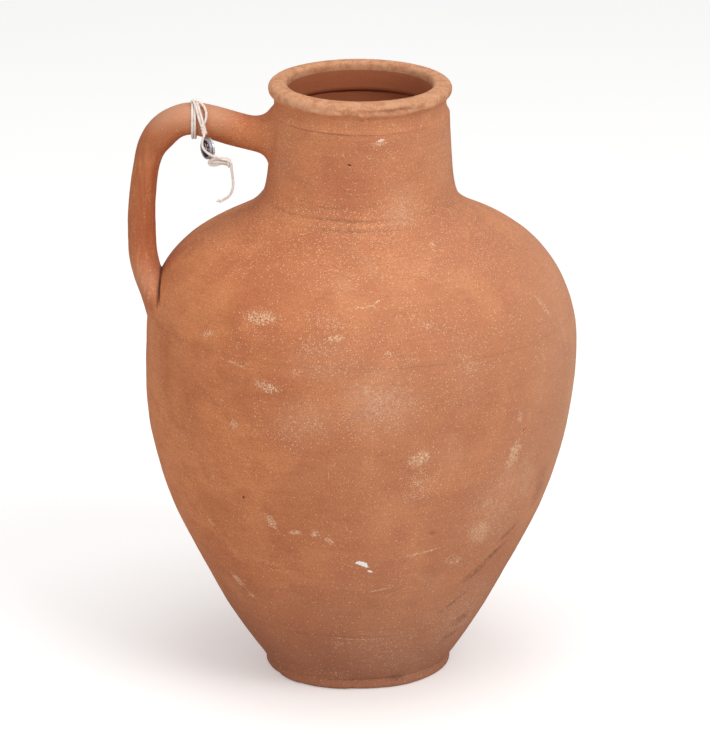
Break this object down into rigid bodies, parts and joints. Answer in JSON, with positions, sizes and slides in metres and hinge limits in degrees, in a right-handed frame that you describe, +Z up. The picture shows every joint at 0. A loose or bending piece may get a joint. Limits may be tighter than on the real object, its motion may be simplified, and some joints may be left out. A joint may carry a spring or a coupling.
{
  "type": "single-handled terracotta jug",
  "caption": "Thrown terracotta storage jug with a strap handle, rolled lip and slab foot, and a metal tag hung from the handle on cotton string.",
  "frame": {"origin": "centre of the foot's resting face, on the axis that the jug was thrown about", "axes": "+Z up along the throwing axis, handle towards -X, the tag hangs on the -Y side of the handle"},
  "size_m": [0.331, 0.321, 0.45],
  "materials": {
    "terracotta": "unglazed, matt, fine pale grit and dusty scuffs",
    "terracotta_lip": "unglazed, worn pale on the lip, small chips",
    "terracotta_handle": "unglazed, smoothed lengthways, darker under the grip",
    "cotton_string": "undyed twisted cotton",
    "stamped_tin": "stamped, dark in the recess, bright on the rim",
    "polished_tin": "polished, lightly scratched"
  },
  "bodies": {
    "jug": {"foot": "terracotta", "heel": "terracotta", "belly": "terracotta", "shoulder": "terracotta", "neck": "terracotta", "rim": "terracotta_lip", "handle": "terracotta_handle"},
    "hitch": {"loop_left": "cotton_string", "loop_right": "cotton_string", "hitch_knot": "cotton_string", "hang_left": "cotton_string", "hang_middle": "cotton_string", "hang_right": "cotton_string", "cross_knot": "cotton_string"},
    "hanger": {"stem": "cotton_string", "stem_knot": "cotton_string"},
    "tag": {"tag_face": "stamped_tin", "tag_back": "polished_tin", "tie_knot": "cotton_string", "tail_string": "cotton_string", "tail_tip": "cotton_string"}
  },
  "joints": [
    {"name": "hitch_slide", "type": "slide", "parent": "jug", "child": "hitch", "axis": [1, 0, 0], "range_m": [-0.003, 0.003]},
    {"name": "hanger_sway", "type": "hinge", "parent": "hitch", "child": "hanger", "pos_m": [-0.1143, -0.0172, 0.4208], "axis": [0, 1, 0], "range_deg": [-22, 35]},
    {"name": "tag_tilt", "type": "hinge", "parent": "hanger", "child": "tag", "pos_m": [-0.1128, -0.0196, 0.4152], "axis": [-1, 0, 0], "range_deg": [-10, 70]}
  ]
}
